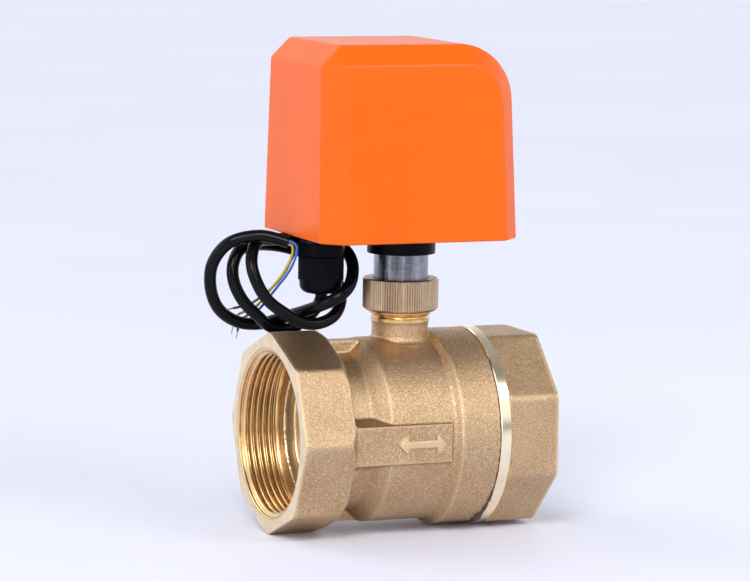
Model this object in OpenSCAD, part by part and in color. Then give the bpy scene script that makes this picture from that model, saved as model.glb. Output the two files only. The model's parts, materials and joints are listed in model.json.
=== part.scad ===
// Motorized two-inch ball valve: a brass valve with an orange electric actuator on its neck.
// The origin is where the pipe axis (X) meets the stem axis (Z). The valve is shown open.

/* [Valve body] */
// Distance from the centre to the inlet end face
inlet_len = 50; // [49:0.5:54]
// Distance from the centre to the outlet end face
outlet_len = 47.6; // [46.5:0.2:52]
// Size across the flats of both octagons
octagon_af = 67.5; // [67:0.5:72]
// Radius of the narrow waist behind the inlet octagon
waist_r = 28.2; // [28:0.1:30]
// Radius of the small barrel under the neck
barrel_r = 33; // [33:0.2:34]
// Radius of the large barrel at the body joint
big_barrel_r = 35.2; // [35:0.2:36]
// Radius of the machined band on the end cap
band_r = 35.7; // [35.7:0.1:36.5]
// Height of the neck's top face above the pipe axis
neck_top = 50; // [49.5:0.5:50]

/* [Pipe thread] */
// Radius at the thread roots
thread_major_r = 29.8; // [29.7:0.01:30]
// Radius at the thread crests
thread_minor_r = 28.33; // [28.3:0.01:28.6]
// Depth of the chamfer at each mouth
mouth_depth = 2; // [1:0.5:2]

/* [Ball and stem] */
// Ball radius
ball_r = 28.5; // [28.3:0.1:28.6]
// Radius of the flow passage through the ball
flow_r = 20; // [18:0.5:20]
// Stem radius
stem_r = 6; // [5.9:0.05:6]
// Size across the flats of the stem's square
stem_square = 8.4; // [8:0.1:8.4]

/* [Union nut and sleeve] */
// Outside radius of the knurled nut
nut_r = 13.55; // [13.5:0.05:14]
// Lower end of the nut
nut_z0 = 42.6; // [42.5:0.1:42.8]
// Upper end of the nut
nut_z1 = 54.2; // [54:0.1:54.4]
// Number of knurl teeth
knurl_teeth = 90; // [60:10:100]
// Sleeve radius
sleeve_r = 9.7; // [9.5:0.05:9.7]

/* [Actuator housing] */
// Height of the cover's lower edge
cover_z0 = 70; // [70:0.5:70]
// Height of the cover's top
cover_z1 = 138.8; // [136:0.2:142]
// Cover's left edge at the bottom
cover_xl = -42.25; // [-43:0.25:-42]
// Cover's right edge at the bottom
cover_xr = 32.85; // [32.5:0.05:33.5]
// Half of the cover's depth at the bottom
cover_y = 33.2; // [33:0.1:34]
// Width of the 45 degree bevel round the front and back faces
bevel = 6.7; // [6:0.1:7]
// Size of the chamfer along the top left edge
top_chamfer = 7; // [6:0.5:8]
// Radius of the top right edge
top_radius = 20; // [18:0.5:21]
// Wall thickness
wall = 2.4; // [2:0.1:2.5]

/* [Gear train] */
// Gear module
gear_m = 0.7; // [0.7:0.1:0.7]
// Teeth on the output gear
output_teeth = 45; // [45:1:45]
// Teeth on the reduction gear's pinion
idler_small_teeth = 12; // [12:1:12]
// Teeth on the reduction gear's wheel
idler_big_teeth = 24; // [24:1:24]
// Teeth on the motor pinion
motor_teeth = 10; // [10:1:10]

/* [Cable] */
// Cable diameter
cable_d = 4.4; // [4:0.1:4.6]
// Diameter of one insulated core
core_d = 0.9; // [0.8:0.1:1.4]

/* [Hidden] */
$fn = 96;

eps = 0.01;
octagon_len = 19.7;
outlet_octagon_x = outlet_len - 19;
joint_x = 24.5;
socket_depth = 14;
gasket_t = 0.35;
pad_y = 33.5;
seat_r = 25.5;
seat_pocket_x = 22.5;
stem_flange_z = 28.8;
neck_r = 10.1;
chamber_r = 30;
collar_r = 12.2;
collar_z = 63.1;
base_top = 74;
gland_x = -30.8;
gland_boss_z = 68.4;
plate_z = 99;
plate_t = 1.5;
board_z = 104.5;
board_t = 1.6;
cover_screw_at = [[-34, -24.5], [-34, 24.5], [25, -24.5], [25, 24.5]];
pillar_at = [[-30, -17], [-30, 17], [26, -19], [26, 19]];
standoff_at = [[-30, -17], [-30, 17], [-11, -17], [-11, 17]];
idler_x = gear_m * (output_teeth + idler_small_teeth) / 2;
motor_at = [11, 7.8];
motor_r = 16;
cam_z = [75.6, 81.4];
switch_z = [74.6, 80.6];

// The cable leaves the gland, makes three loose loops beside it and ends under the housing.
cable_route = [
    [-30.8, 0, 51], [-30.8, 0, 47], [-32.4, 4.6, 41.5], [-38, 9, 36], [-45.5, 9, 36.6], [-51.5, 8, 41],
    [-57, 8, 46.5], [-60.3, 8.5, 53], [-60.5, 9.5, 59], [-57.2, 11.8, 64], [-51, 14.5, 65.5],
    [-43, 17, 65], [-35.5, 17, 63.5], [-27.5, 14.5, 60.5], [-22, 9.5, 54.5], [-21.2, 4.5, 47.5],
    [-24.5, 1, 41.7], [-31, -1, 38.9], [-37.5, -1.5, 39.2], [-44.5, -1.5, 42.6], [-51.5, -1, 48],
    [-55.5, 0, 55], [-56, 3, 61.5], [-52.3, 8, 67], [-44.5, 11.5, 67.7],
    [-26, 12, 67], [-20, 6, 64.5], [-19.5, -2, 59.3], [-23.3, -7.8, 52.3], [-29.5, -7.5, 47.6],
    [-35.3, 0.5, 43.5], [-40.5, 8, 40.4], [-47.5, 15, 37.2], [-56, 16, 38], [-63.5, 15, 43],
    [-67.5, 13, 51], [-67.5, 11, 60], [-62.5, 7.5, 67.5], [-52.5, 4, 70], [-43.8, -1.5, 68]];
// The three cores leave the cable's end face side by side, then hang down.
earth_route = [
    [-43.9, -1.45, 67.2], [-42.9, -2.1, 66.95], [-42.7, -2.6, 65], [-44, -3, 61.5], [-45.8, -0.8, 56.5],
    [-48.2, 2, 52], [-50.2, 6, 47.4], [-51.2, 11, 43.8], [-52.5, 17.5, 41.5], [-55, 19.8, 39.5],
    [-56, 20, 36]];
neutral_route = [
    [-44.05, -2.15, 68.4], [-43.05, -2.8, 68.15], [-41.6, -3.9, 66.3], [-42.6, -3.8, 61.5],
    [-44.2, -1.2, 56.5], [-46.6, 1.6, 52], [-48.8, 6, 46.8], [-49.8, 11, 43], [-51.3, 18, 40],
    [-53.5, 20.5, 37.5], [-54, 21, 34]];
live_route = [
    [-43.3, -1, 68.4], [-42.3, -1.65, 68.15], [-41, -1.9, 66.2], [-42.8, -0.6, 61], [-44.6, 0.8, 56.5],
    [-47, 4, 52], [-49.5, 8.6, 48.2], [-51, 13, 45.4], [-54.5, 14, 43.9], [-58.5, 14, 43.2]];

/* Helpers */

// A cylinder or cone along X
module cone_x(x0, x1, r0, r1) {
    translate([x0, 0, 0]) rotate([0, 90, 0]) cylinder(h = x1 - x0, r1 = r0, r2 = r1);
}

module rod_x(x0, x1, r) {
    cone_x(x0, x1, r, r);
}

// A cylinder or ring along Z
module rod(z0, z1, r) {
    translate([0, 0, z0]) cylinder(h = z1 - z0, r = r);
}

module ring(z0, z1, r_in, r_out) {
    difference() {
        rod(z0, z1, r_out);
        rod(z0 - 1, z1 + 1, r_in);
    }
}

module hexagon_z(z0, z1, af) {
    translate([0, 0, z0]) linear_extrude(z1 - z0) circle(r = af / 2 / cos(30), $fn = 6);
}

// An octagon with rounded corners, whose first corner points along +X
function octagon_points(af, r_corner, turn) = [
    for (k = [0:7], j = [-2:2])
        (af / 2 - r_corner) / cos(22.5) * [cos(45 * k + turn), sin(45 * k + turn)]
        + r_corner * [cos(45 * k + turn + j * 11.25), sin(45 * k + turn + j * 11.25)]];

module octagon_x(x0, x1, turn) {
    translate([x0, 0, 0]) rotate([0, 90, 0])
        linear_extrude(x1 - x0) polygon(octagon_points(octagon_af, 3.5, turn));
}

// The socket of a threaded end whose mouth is at +X: chamfer, bore at the thread crests, relief and step
module thread_socket(x_end) {
    rod_x(x_end - socket_depth, x_end + 1, thread_minor_r);
    cone_x(x_end - mouth_depth, x_end + eps, thread_minor_r, thread_major_r + 0.5);
    rod_x(x_end - socket_depth - 2, x_end - socket_depth, 29.4);
    rod_x(x_end - 20.5, x_end - 15, 25.2);
}

// A tube with flat ends swept along a list of points
function unit(v) = v / norm(v);
function tangent(p, i) = unit(p[min(i + 1, len(p) - 1)] - p[max(i - 1, 0)]);
function carried(u, t) = unit(u - (u * t) * t);
function frames(p, i, u) = i == len(p) ? [] : concat([carried(u, tangent(p, i))],
    frames(p, i + 1, carried(u, tangent(p, i))));
module swept_tube(p, r, sides, first = [0.2, 1, 0.1]) {
    u = frames(p, 0, first);
    n = len(p);
    rings = [for (i = [0:n - 1], k = [0:sides - 1])
        let (t = tangent(p, i), v = cross(t, u[i]), a = 360 * k / sides)
        p[i] + r * (cos(a) * u[i] + sin(a) * v)];
    sides_faces = [for (i = [0:n - 2], k = [0:sides - 1], half = [0, 1])
        let (a = i * sides + k, b = i * sides + (k + 1) % sides)
        half == 0 ? [a, a + sides, b] : [b, a + sides, b + sides]];
    caps = [[for (k = [0:sides - 1]) k], [for (k = [sides - 1:-1:0]) (n - 1) * sides + k]];
    polyhedron(points = rings, faces = concat(sides_faces, caps), convexity = 10);
}

// Involute gear outline with tooth number 0 centred on +X
function inv(a) = tan(a) * 180 / PI - a;
function half_tooth(teeth, r) =
    let (rp = gear_m * teeth / 2, rb = rp * cos(20), q = max(r, rb))
    90 / teeth - 2.2 / rp + inv(20) - inv(acos(rb / q));
function gear_radii(teeth) =
    let (rp = gear_m * teeth / 2)
    [rp - 1.15 * gear_m, max(rp * cos(20), rp - 0.8 * gear_m), rp, rp + 0.45 * gear_m, rp + 0.85 * gear_m];
function gear_points(teeth) = [
    for (k = [0:teeth - 1])
        each concat(
            [for (r = gear_radii(teeth)) let (a = 360 * k / teeth - half_tooth(teeth, r))
                r * [cos(a), sin(a)]],
            [for (j = [4:-1:0]) let (r = gear_radii(teeth)[j], a = 360 * k / teeth + half_tooth(teeth, r))
                r * [cos(a), sin(a)]])];

module gear(teeth, z0, z1, turn) {
    translate([0, 0, z0]) rotate([0, 0, turn]) linear_extrude(z1 - z0) polygon(gear_points(teeth));
}

// Plan of the housing at its lower edge, moved inwards by d
function plan_points(d) =
    let (c = bevel + 0.4142 * d, x0 = cover_xl + d, x1 = cover_xr - d, y = cover_y - d)
    [[cover_xl + c, -y], [cover_xr - c, -y], [x1, c - cover_y], [x1, cover_y - c],
     [cover_xr - c, y], [cover_xl + c, y], [x0, cover_y - c], [x0, c - cover_y]];

// A cap screw that points down, with its head's underside at z
module screw_down(z, length, r, head_r, head_h) {
    rod(z - length, z + eps, r);
    difference() {
        rod(z, z + head_h, head_r);
        hexagon_z(z + head_h * 0.5, z + head_h + 1, head_r);
    }
}

/* Valve */

module neck_outline() {
    fillet = 2.4;
    fillet_top = 33.6;
    rotate_extrude() polygon(concat(
        [[0, 20], [neck_r + fillet, 20], [neck_r + fillet, fillet_top - fillet]],
        [for (a = [75:-15:15]) [neck_r + fillet - fillet * cos(a), fillet_top - fillet * sin(a)]],
        [[neck_r, fillet_top], [neck_r, 38.5], [10.5, 38.8], [10.5, 39.9], [9.8, 40.3], [9.8, 40.6],
         [11.2, 41.9], [11.2, 42.2], [neck_r, 42.4]],
        [for (k = [0:3]) each [[neck_r, 43.4 + 1.5 * k], [10.9, 43.8 + 1.5 * k],
                               [10.9, 44.1 + 1.5 * k], [neck_r, 44.5 + 1.5 * k]]],
        [[neck_r, neck_top - 0.4], [neck_r - 0.4, neck_top], [0, neck_top]]));
}

// Flat pad beside the barrel, on the side given by its sign, with drafted edges
module side_pad(side) {
    start = octagon_len - inlet_len - 1;
    translate([start, 0, 0]) rotate([90, 0, 90]) linear_extrude(6.5 - start)
        polygon([[side * pad_y, -7.5], [side * pad_y, 6], [side * 26, 8.5], [side * 26, -10]]);
}

module flow_arrow() {
    translate([-5, -pad_y + eps, -0.8]) rotate([90, 0, 0]) linear_extrude(0.7)
        polygon([[-9, 0], [-5.5, 3.4], [-5.5, 1.2], [5.5, 1.2], [5.5, 3.4], [9, 0],
                 [5.5, -3.4], [5.5, -1.2], [-5.5, -1.2], [-5.5, -3.4]]);
}

module valve_body() {
    inner_end = -inlet_len + octagon_len;
    color("peru") difference() {
        union() {
            intersection() {
                octagon_x(-inlet_len, inner_end, 0);
                union() {
                    cone_x(-inlet_len, -inlet_len + 1, 35.6, 36.6);
                    rod_x(-inlet_len + 1, inner_end - 2.5, 36.6);
                    cone_x(inner_end - 2.5, inner_end, 36.6, 34.4);
                }
            }
            rod_x(inner_end - 1, -20, waist_r);
            cone_x(-21.5, -16, waist_r, barrel_r);
            rod_x(-16, 8, barrel_r);
            cone_x(8, 10.1, barrel_r, big_barrel_r);
            rod_x(10.1, joint_x, big_barrel_r);
            side_pad(-1);
            side_pad(1);
            for (z = [-32.5, 26]) translate([inner_end - 1, -3.5, z]) cube([-17 - inner_end + 1, 7, 6.5]);
            neck_outline();
            flow_arrow();
        }
        mirror([1, 0, 0]) thread_socket(inlet_len);
        rod_x(-30, -20, flow_r + 0.5);
        rod_x(-seat_pocket_x, -14, seat_r + 0.1);
        rod_x(-15, 12, chamber_r);
        rod_x(11.5, joint_x + 1, 32);
        rod(25, neck_top + 1, stem_r + 0.05);
        rod(20, 31.6, 8.8);
        translate([0, 8.3, 46.5]) cylinder(h = 5, r = 0.8);
    }
}

module end_cap() {
    color("peru") difference() {
        union() {
            rod_x(12, joint_x + gasket_t + 1, 31.9);
            cone_x(joint_x + gasket_t, joint_x + gasket_t + 0.3, band_r - 0.3, band_r);
            rod_x(joint_x + gasket_t + 0.3, outlet_octagon_x - 0.3, band_r);
            cone_x(outlet_octagon_x - 0.3, outlet_octagon_x, band_r, band_r - 0.3);
            intersection() {
                octagon_x(outlet_octagon_x - 0.5, outlet_len, 22.5);
                union() {
                    rod_x(outlet_octagon_x - 0.5, outlet_len - 0.8, 36.6);
                    cone_x(outlet_len - 0.8, outlet_len, 36.6, 35.8);
                }
            }
        }
        thread_socket(outlet_len);
        cone_x(11.9, 14.5, 27.6, seat_r + 0.1);
        rod_x(14, seat_pocket_x, seat_r + 0.1);
        rod_x(20, 30, flow_r + 0.5);
    }
}

module body_gasket() {
    color("dimgray") difference() {
        rod_x(joint_x, joint_x + gasket_t, big_barrel_r - 0.2);
        rod_x(joint_x - 1, joint_x + 1, 31.95);
    }
}

module seat_ring() {
    color("white") difference() {
        rod_x(15.2, seat_pocket_x - 0.1, seat_r);
        rod_x(10, 30, flow_r + 0.2);
        sphere(r = ball_r + 0.15);
    }
}

module outlet_seat() {
    seat_ring();
}

module inlet_seat() {
    mirror([1, 0, 0]) seat_ring();
}

module ball() {
    color("silver") difference() {
        sphere(r = ball_r);
        rod_x(-30, 30, flow_r);
        translate([-7, -4.1, 24.2]) cube([14, 8.2, 6]);
    }
}

module stem() {
    color("gainsboro") union() {
        intersection() {
            translate([-6, -4, 24.5]) cube([12, 8, 5]);
            rod(24, 30, 6.8);
        }
        rod(stem_flange_z, 30.6, 8.4);
        difference() {
            rod(30.5, 52, stem_r);
            for (z = [35, 40]) ring(z, z + 2, 4.2, 8);
        }
        translate([0, 0, 51]) intersection() {
            translate([-stem_square / 2, -stem_square / 2, 0]) cube([stem_square, stem_square, 9]);
            rod(0, 9, stem_r - 0.05);
        }
    }
}

module stem_o_rings() {
    color("black") for (z = [36, 41]) translate([0, 0, z]) rotate_extrude() translate([5.1, 0]) circle(r = 0.85);
}

module stem_washer() {
    color("white") ring(30.7, 31.5, stem_r + 0.05, 8.5);
}

module locating_pin() {
    color("silver") translate([0, 8.3, 0]) rod(46.5, 51.6, 0.79);
}

/* Coupling */

module sleeve() {
    color("silver") difference() {
        union() {
            rod(neck_top, neck_top + 2, 10.8);
            rod(neck_top + 1, 75.2, sleeve_r);
        }
        rod(neck_top - 1, 80, 6.6);
        rod(neck_top + 3, 80, 8.2);
        translate([0, 8.3, neck_top - 1]) cylinder(h = 3, r = 1.1);
        ring(base_top, base_top + 1, 9.2, 12);
    }
}

module union_nut() {
    knurl = [for (k = [0:2 * knurl_teeth - 1])
        (nut_r - (k % 2 == 0 ? 0 : 0.35)) * [cos(180 * k / knurl_teeth), sin(180 * k / knurl_teeth)]];
    color("burlywood") difference() {
        intersection() {
            translate([0, 0, nut_z0]) linear_extrude(nut_z1 - nut_z0) polygon(knurl);
            rotate_extrude() polygon([[0, nut_z0], [nut_r - 1, nut_z0], [nut_r + 0.2, nut_z0 + 1.2],
                [nut_r + 0.2, nut_z1 - 0.8], [nut_r - 0.6, nut_z1], [0, nut_z1]]);
        }
        rod(nut_z0 - 1, 52.75, 11.2);
        rod(50, nut_z1 + 1, sleeve_r + 0.3);
    }
}

module nut_washer() {
    color("whitesmoke") ring(52.05, 52.7, sleeve_r + 0.3, 10.85);
}

module drive_coupler() {
    square_clear = stem_square + 0.3;
    color("slategray") difference() {
        rod(54, 68, 7.8);
        translate([-square_clear / 2, -square_clear / 2, 53]) cube([square_clear, square_clear, 8]);
        translate([-3.05, -3.05, 61.5]) cube([6.1, 6.1, 7]);
    }
}

module sleeve_clip() {
    color("dimgray") difference() {
        ring(base_top + 0.05, base_top + 0.95, 9.25, 11);
        translate([8, -1.5, base_top - 1]) cube([5, 3, 3]);
    }
}

/* Housing */

module base() {
    color("#202020") difference() {
        union() {
            translate([0, 0, cover_z0]) linear_extrude(2.6) polygon(plan_points(wall + 0.35));
            translate([0, 0, cover_z0 + 2]) linear_extrude(2) polygon(plan_points(wall + 2));
            rod(collar_z, cover_z0 + 1, collar_r);
            translate([gland_x, 0, 0]) rod(gland_boss_z, cover_z0 + 1, 7.5);
        }
        rod(collar_z - 1, base_top + 1, sleeve_r + 0.05);
        translate([gland_x, 0, 0]) rod(60, 80, 6.1);
        for (p = cover_screw_at) translate(p) {
            rod(cover_z0 - 1, cover_z0 + 2, 3.2);
            rod(cover_z0, base_top + 1, 1.7);
        }
        translate([idler_x, 0, 0]) rod(72, 80, 1.52);
        for (p = pillar_at) translate([p[0], p[1], 0]) rod(71, 80, 1.02);
        for (x = [-5, 5]) translate([x, -20, 0]) rod(71, 80, 0.95);
    }
    color("#202020") for (x = [-5, 5]) translate([x, -20, 0]) ring(base_top, switch_z[0], 0.95, 2);
}

// Closed outline of the cover seen from the front, moved inwards by s and cut at height z_low.
// The corner is cut off by the given chamfer.
function cover_outline(s, z_low, chamfer) =
    let (c = chamfer + s, top = cover_z1 - s, cx = cover_xr - 1.9 - top_radius,
         cz = cover_z1 - top_radius)
    concat(
        [[cover_xl + s, z_low], [cover_xl + 0.6 + s, cover_z1 - c], [cover_xl + 0.6 + c, top]],
        [for (a = [90:-7.5:0]) [cx + (top_radius - s) * cos(a), cz + (top_radius - s) * sin(a)]],
        [[cover_xr - s, z_low]]);
function front_y(z) = cover_y - 2.7 * (z - cover_z0) / (cover_z1 - cover_z0);

// The cover's outer shape, moved inwards by t on every side but the bottom
module cover_block(t, z_low) {
    c = bevel + 0.4142 * t;
    face = cover_outline(c, z_low, chamfer = 0.4);
    side = cover_outline(t, z_low, chamfer = top_chamfer - 0.5858 * t);
    n = len(face);
    points = concat(
        [for (p = face) [p[0], -front_y(p[1]) + t, p[1]]], [for (p = side) [p[0], -front_y(p[1]) + c, p[1]]],
        [for (p = side) [p[0], front_y(p[1]) - c, p[1]]], [for (p = face) [p[0], front_y(p[1]) - t, p[1]]]);
    walls = [for (k = [0:2], i = [0:n - 1], half = [0, 1])
        let (a = k * n + i, b = k * n + (i + 1) % n)
        half == 0 ? [a, a + n, b] : [b, a + n, b + n]];
    caps = [[for (i = [0:n - 1]) i], [for (i = [n - 1:-1:0]) 3 * n + i]];
    polyhedron(points = points, faces = concat(walls, caps), convexity = 4);
}

module cover() {
    color("orangered") union() {
        difference() {
            cover_block(0, cover_z0);
            cover_block(wall, cover_z0 - 1);
        }
        for (p = cover_screw_at) difference() {
            union() {
                translate(p) rod(74.4, 108, 3.3);
                translate([p[0] > 0 ? p[0] - 2.4 : p[0] - 0.6, p[1] > 0 ? p[1] : p[1] - 6.5, 74.4])
                    cube([1.6, 6.5, 33]);
            }
            translate(p) rod(74, 92, 1.7);
        }
    }
}

module cover_gasket() {
    color("dimgray") difference() {
        translate([0, 0, cover_z0 + 2.65]) linear_extrude(1.3) polygon(plan_points(wall + 0.35));
        translate([0, 0, cover_z0 + 2]) linear_extrude(3) polygon(plan_points(wall + 1.95));
    }
}

module cover_screws() {
    color("silver") for (p = cover_screw_at) translate([p[0], p[1], 0]) {
        rod(72, 86, 1.4);
        difference() {
            rod(70.2, 72, 2.9);
            translate([-0.4, -2, 70]) cube([0.8, 4, 0.9]);
            translate([-2, -0.4, 70]) cube([4, 0.8, 0.9]);
        }
    }
}

module pillars() {
    color("silver") for (p = pillar_at) translate([p[0], p[1], 0]) ring(base_top, plate_z, 1.05, 2.1);
}

module motor_plate() {
    color("lightgray") difference() {
        translate([-33.5, -20.8, plate_z]) cube([61.5, 41.6, plate_t]);
        for (p = concat(pillar_at, standoff_at)) translate([p[0], p[1], 0]) rod(90, 110, 1.2);
        rod(90, 110, 5.55);
        translate([idler_x, 0, 0]) rod(90, 110, 1.52);
        translate([motor_at[0], motor_at[1], 0]) {
            rod(90, 110, 2);
            for (x = [-9.5, 9.5]) translate([x, 0, 0]) rod(90, 110, 1.25);
        }
    }
}

module plate_screws() {
    color("silver") {
        for (p = [pillar_at[2], pillar_at[3]]) translate([p[0], p[1], 0])
            screw_down(plate_z + plate_t, 8, 1, 2, 1.6);
        for (p = pillar_at) translate([p[0], p[1], 0]) rod(71, base_top + 5, 1);
    }
}

/* Drive */

module lower_bush() {
    color("darkgoldenrod") ring(68.6, 75.2, 4.05, 8.15);
}

module upper_bush() {
    color("darkgoldenrod") union() {
        ring(97.6, plate_z, 4.05, 5.9);
        ring(plate_z - eps, plate_z + plate_t - 0.1, 4.05, 5.5);
    }
}

module output_shaft() {
    color("silver") union() {
        translate([-3, -3, 62]) cube([6, 6, 6.3]);
        rod(68.2, 100.2, 4);
    }
}

module output_gear() {
    color("ivory") difference() {
        union() {
            gear(output_teeth, 88, 92, 0);
            rod(86, 94, 6.5);
        }
        rod(80, 100, 4.02);
    }
}

function cam_radius(a) = a < 35 ? 10.5 : a < 50 ? 10.5 - (a - 35) * 2 / 15 : 8.5;
function cam_points(lobe) = [for (a = [0:7.5:352.5])
    let (off = abs((a - lobe + 540) % 360 - 180)) cam_radius(off) * [cos(a), sin(a)]];

module cam(z, lobe) {
    color("white") difference() {
        union() {
            translate([0, 0, z]) linear_extrude(3.6) polygon(cam_points(lobe));
            rod(z, z + 4.4, 6.5);
        }
        rod(z - 1, z + 6, 4.02);
    }
}

module open_cam() {
    cam(cam_z[0], 270);
}

module closed_cam() {
    cam(cam_z[1], 180);
}

module idler_arbor() {
    color("silver") translate([idler_x, 0, 0]) rod(72, plate_z + plate_t, 1.5);
}

module reduction_gear() {
    to_motor = atan2(motor_at[1], motor_at[0] - idler_x);
    color("ivory") translate([idler_x, 0, 0]) difference() {
        union() {
            gear(idler_small_teeth, 87.4, 93.7, 180 + 180 / idler_small_teeth);
            gear(idler_big_teeth, 93.6, 96.4, to_motor);
            rod(84, 87.5, 3);
        }
        rod(80, 100, 1.56);
    }
}

module motor_pinion() {
    to_idler = atan2(-motor_at[1], idler_x - motor_at[0]);
    color("goldenrod") translate([motor_at[0], motor_at[1], 0]) difference() {
        gear(motor_teeth, 93.2, 97.2, to_idler + 180 / motor_teeth);
        rod(90, 100, 1.52);
    }
}

module motor_shaft() {
    color("silver") translate([motor_at[0], motor_at[1], 0]) rod(92.8, 105, 1.5);
}

module motor_housing() {
    z0 = plate_z + plate_t;
    color("gainsboro") translate([motor_at[0], motor_at[1], 0]) difference() {
        union() {
            rod(z0, z0 + 6, motor_r);
            rod(z0 + 6, z0 + 7, motor_r - 0.6);
            rod(z0 + 7, z0 + 18.5, motor_r);
            rod(z0 + 18.5, z0 + 19.2, 6);
        }
        rod(90, 106, 1.56);
        for (x = [-9.5, 9.5]) translate([x, 0, 0]) rod(90, 106, 1.02);
    }
}

module motor_screws() {
    color("silver") translate([motor_at[0], motor_at[1], 0])
        for (x = [-9.5, 9.5]) translate([x, 0, 0]) {
            rod(plate_z - 1, 105, 1);
            rod(plate_z - 1.4, plate_z, 1.9);
        }
}

// A limit switch whose lever is hinged at its left end
lever_hinge = [-9.6, -12.3];
module limit_switch(z) {
    color("#303030") union() {
        difference() {
            translate([-10, -23.2, z]) cube([20, 10, 5.8]);
            for (x = [-5, 5]) translate([x, -20, 0]) rod(z - 1, z + 7, 0.97);
        }
        for (dz = [0, 4.8]) translate([-10.8, -13.3, z + dz]) cube([2.4, 1.9, 1]);
        translate([lever_hinge[0], lever_hinge[1], 0]) rod(z, z + 5.8, 0.4);
        translate([1, -12.8, z + 2.9]) rotate([90, 0, 0]) cylinder(h = 1, r = 0.8);
        for (x = [-7, 0, 7]) translate([x - 0.9, -26, z + 2.6]) cube([1.8, 3, 0.5]);
    }
}

module open_switch() {
    limit_switch(switch_z[0]);
}

module closed_switch() {
    limit_switch(switch_z[1]);
}

module switch_lever(z) {
    color("silver") difference() {
        union() {
            translate([lever_hinge[0], -11.6, z + 1.2]) cube([16.5, 0.4, 3.4]);
            translate([lever_hinge[0], lever_hinge[1], 0]) rod(z + 1.2, z + 4.6, 0.85);
            translate([0, -11.35, 0]) rod(z + 1.2, z + 4.6, 0.5);
        }
        translate([lever_hinge[0], lever_hinge[1], 0]) rod(z, z + 6, 0.45);
    }
}

module open_lever() {
    switch_lever(switch_z[0]);
}

module closed_lever() {
    switch_lever(switch_z[1]);
}

module switch_screws() {
    color("silver") for (x = [-5, 5]) translate([x, -20, 0]) {
        rod(71.2, switch_z[1] + 5.9, 0.9);
        rod(switch_z[1] + 5.8, switch_z[1] + 7, 1.8);
    }
}

/* Electrics */

module circuit_board() {
    color("darkgreen") difference() {
        translate([-33, -20, board_z]) cube([26, 40, board_t]);
        for (p = standoff_at) translate([p[0], p[1], 0]) rod(90, 120, 1.2);
    }
}

module board_standoffs() {
    color("silver") for (p = standoff_at) translate([p[0], p[1], 0])
        ring(plate_z + plate_t, board_z, 1.05, 2.1);
}

module board_screws() {
    color("silver") for (p = standoff_at) translate([p[0], p[1], 0])
        screw_down(board_z + board_t, 12, 1, 1.9, 1.4);
}

terminal_ys = [-7.5, -2.5, 2.5, 7.5];
module terminal_block() {
    z = board_z + board_t;
    color("seagreen") difference() {
        translate([-32.5, -10, z]) cube([8, 20, 9]);
        for (y = terminal_ys) {
            translate([-33, y, z + 3.2]) rotate([0, 90, 0]) cylinder(h = 6, r = 1.4);
            translate([-28.2, y, 0]) rod(z + 5, z + 10, 1.6);
        }
    }
}

module terminal_screws() {
    z = board_z + board_t;
    color("silver") for (y = terminal_ys) translate([-28.2, y, 0]) difference() {
        rod(z + 5, z + 8.4, 1.5);
        translate([-2, -0.25, z + 7.7]) cube([4, 0.5, 2]);
    }
}

module capacitor() {
    color("gold") translate([-20, -4, board_z + board_t]) cube([8, 16, 11]);
}

// A lead from the top of the cable tail to a terminal
module inner_lead(dx, dy, y) {
    swept_tube([[gland_x + dx, dy, 84], [gland_x + dx - 0.5, dy * 1.5, 88], [-34, y * 0.7, 93],
        [-36.6, y, 98], [-37, y, 103], [-36.6, y, 107], [-35, y, 109.3], [-32, y, 109.3], [-29, y, 109.3]],
        core_d / 2, 8);
}

module earth_lead() {
    color("yellowgreen") inner_lead(-1, -0.8, -7.5);
}

module neutral_lead() {
    color("royalblue") inner_lead(-1, 0.8, 7.5);
}

module live_lead() {
    color("saddlebrown") inner_lead(0.9, 0, -2.5);
}

module motor_leads() {
    color("red") for (y = [3, 6]) swept_tube([[-5.4, y + 2, 110.5], [-7, y + 1.6, 111.3], [-8.6, y + 0.8, 110.5],
        [-9.4, y, 108.5], [-9.6, y, 106.2]], 0.5, 8, [0, 1, 0]);
}

/* Cable entry */

module at_gland() {
    translate([gland_x, 0, 0]) children();
}

module gland_body() {
    color("#1a1a1a") at_gland() difference() {
        union() {
            rod(55.6, 63, 6.2);
            intersection() {
                hexagon_z(62.9, 67.6, 16);
                rod(62, 68, 8.9);
            }
            rod(67.5, 78, 5.9);
        }
        rod(50, 80, 2.7);
    }
}

module gland_gasket() {
    color("dimgray") at_gland() ring(67.65, gland_boss_z, 5.95, 7.5);
}

module gland_locknut() {
    color("#1a1a1a") at_gland() difference() {
        hexagon_z(base_top + 0.02, base_top + 3, 15);
        rod(70, 80, 5.95);
    }
}

module gland_seal() {
    color("dimgray") at_gland() ring(51.1, 55.4, 2.35, 5.1);
}

module gland_nut() {
    ribs = 36;
    rib_points = [for (k = [0:4 * ribs - 1])
        (8.1 - (k % 4 < 2 ? 0 : 0.3)) * [cos(90 * k / ribs), sin(90 * k / ribs)]];
    color("#1a1a1a") at_gland() difference() {
        union() {
            translate([0, 0, 54.4]) linear_extrude(8.2) polygon(rib_points);
            rotate_extrude() polygon(concat([[0, 49.5], [4.4, 49.5]],
                [for (a = [-70:14:0]) [4.6 + 3 * cos(a), 52.8 + 3.2 * sin(a)]], [[7.7, 54.5], [0, 54.5]]));
        }
        rod(55.5, 63, 6.5);
        rod(51, 56, 5.2);
        rod(49, 52, 2.7);
    }
}

module cable_tail() {
    color("#151515") at_gland() rod(51, 84, cable_d / 2);
}

module cable() {
    color("#151515") swept_tube(cable_route, cable_d / 2, 10);
}

module earth_core() {
    color("yellowgreen") swept_tube(earth_route, core_d / 2, 8);
}

module neutral_core() {
    color("royalblue") swept_tube(neutral_route, core_d / 2, 8);
}

module live_core() {
    color("saddlebrown") swept_tube(live_route, core_d / 2, 8);
}

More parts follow.
